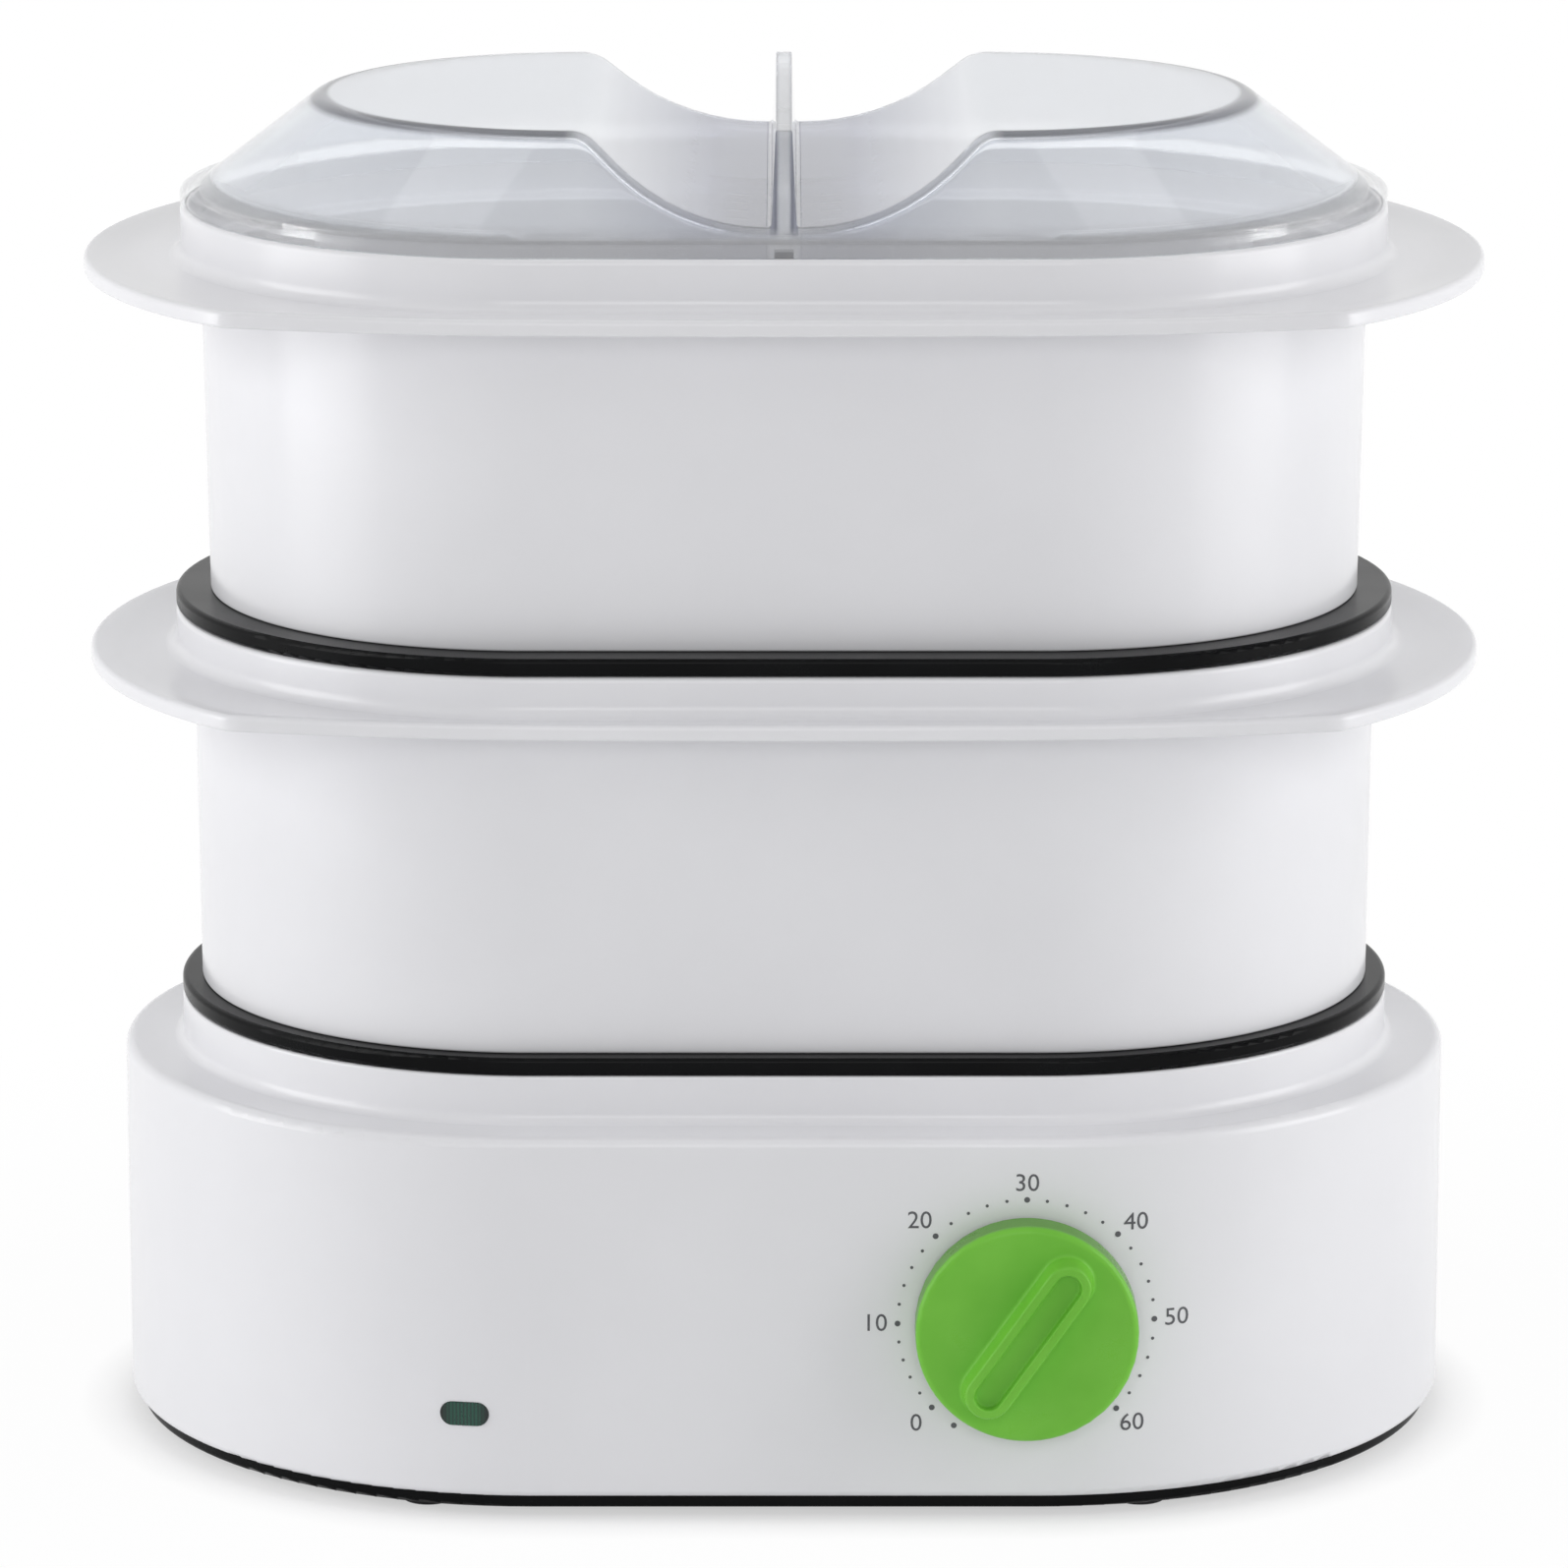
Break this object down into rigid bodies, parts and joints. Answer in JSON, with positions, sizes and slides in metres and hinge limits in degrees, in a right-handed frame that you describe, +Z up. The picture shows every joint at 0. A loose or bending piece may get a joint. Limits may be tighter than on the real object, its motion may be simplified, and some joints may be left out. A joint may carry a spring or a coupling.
{
  "type": "electric food steamer",
  "caption": "Oval electric food steamer: white base with round timer knob and pill lamp, stacked baskets on black perforated floors, clear lid with a pinch fin.",
  "frame": {"origin": "under the middle of the whole, knob included, on the surface it stands on; the oval's own middle is 7.55 mm behind it, at Y = +0.00755", "axes": "+X to the right along the long side, front with the knob towards -Y, +Z up"},
  "size_m": [0.355, 0.233, 0.344],
  "materials": {
    "white_plastic": "glossy moulded white",
    "black_plastic": "satin black",
    "black_rubber": "matte",
    "zinc_steel": "zinc plated",
    "grey_plastic": "satin light grey",
    "silicone": "translucent silicone",
    "cast_aluminium": "cast, machined face",
    "steel_sheet": "rolled sheet",
    "bakelite": "dark moulded",
    "brass": "turned",
    "bell_chrome": "polished",
    "green_plastic": "glossy moulded green",
    "green_lens": "dark green lens, unlit",
    "bulb_glass": "clear glass",
    "brown_wire": "PVC insulation",
    "blue_wire": "PVC insulation",
    "grey_wire": "PVC insulation",
    "clear_plastic": "clear moulded plastic"
  },
  "bodies": {
    "base": {"base_housing": "white_plastic", "bottom_cover": "black_plastic", "feet": "black_rubber", "cover_screws": "zinc_steel", "water_tank": "grey_plastic", "tank_gasket": "silicone", "tank_screws": "zinc_steel", "heater_plate": "cast_aluminium", "heater_gasket": "silicone", "heater_clamp": "steel_sheet", "heater_studs": "zinc_steel", "heater_nuts": "zinc_steel", "heater_element": "steel_sheet", "heater_pins": "steel_sheet", "thermostat": "bakelite", "thermostat_clip": "steel_sheet", "thermal_fuse": "steel_sheet", "timer_case": "steel_sheet", "timer_back_plate": "steel_sheet", "timer_screws": "zinc_steel", "timer_mainspring": "steel_sheet", "timer_bell": "bell_chrome", "timer_bell_post": "brass", "lamp_lens": "green_lens", "lamp_case": "bakelite", "lamp_bulb": "bulb_glass", "cord_gland": "black_rubber", "terminal_block": "grey_plastic", "block_screws": "zinc_steel", "live_leads": "brown_wire", "neutral_lead": "blue_wire", "lamp_leads": "grey_wire"},
    "knob": {"timer_knob": "green_plastic", "knob_clip": "steel_sheet", "timer_spindle": "steel_sheet", "timer_wheel": "brass"},
    "drip_tray": {"drip_tray": "black_plastic"},
    "lower_basket": {"lower_basket_wall": "white_plastic", "lower_basket_floor": "black_plastic"},
    "upper_basket": {"upper_basket_wall": "white_plastic", "upper_basket_floor": "black_plastic"},
    "lid": {"lid": "clear_plastic"}
  },
  "joints": [
    {"name": "timer_turn", "type": "hinge", "parent": "base", "child": "knob", "pos_m": [0.0602, -0.09965, 0.0515], "axis": [0, 1, 0], "range_deg": [0, 280]},
    {"name": "drip_tray_lift", "type": "slide", "parent": "base", "child": "drip_tray", "axis": [0, 0, 1], "range_m": [0, 0.05]},
    {"name": "lower_basket_lift", "type": "slide", "parent": "drip_tray", "child": "lower_basket", "axis": [0, 0, 1], "range_m": [0, 0.06]},
    {"name": "upper_basket_lift", "type": "slide", "parent": "lower_basket", "child": "upper_basket", "axis": [0, 0, 1], "range_m": [0, 0.06]},
    {"name": "lid_lift", "type": "slide", "parent": "upper_basket", "child": "lid", "axis": [0, 0, 1], "range_m": [0, 0.08]}
  ]
}
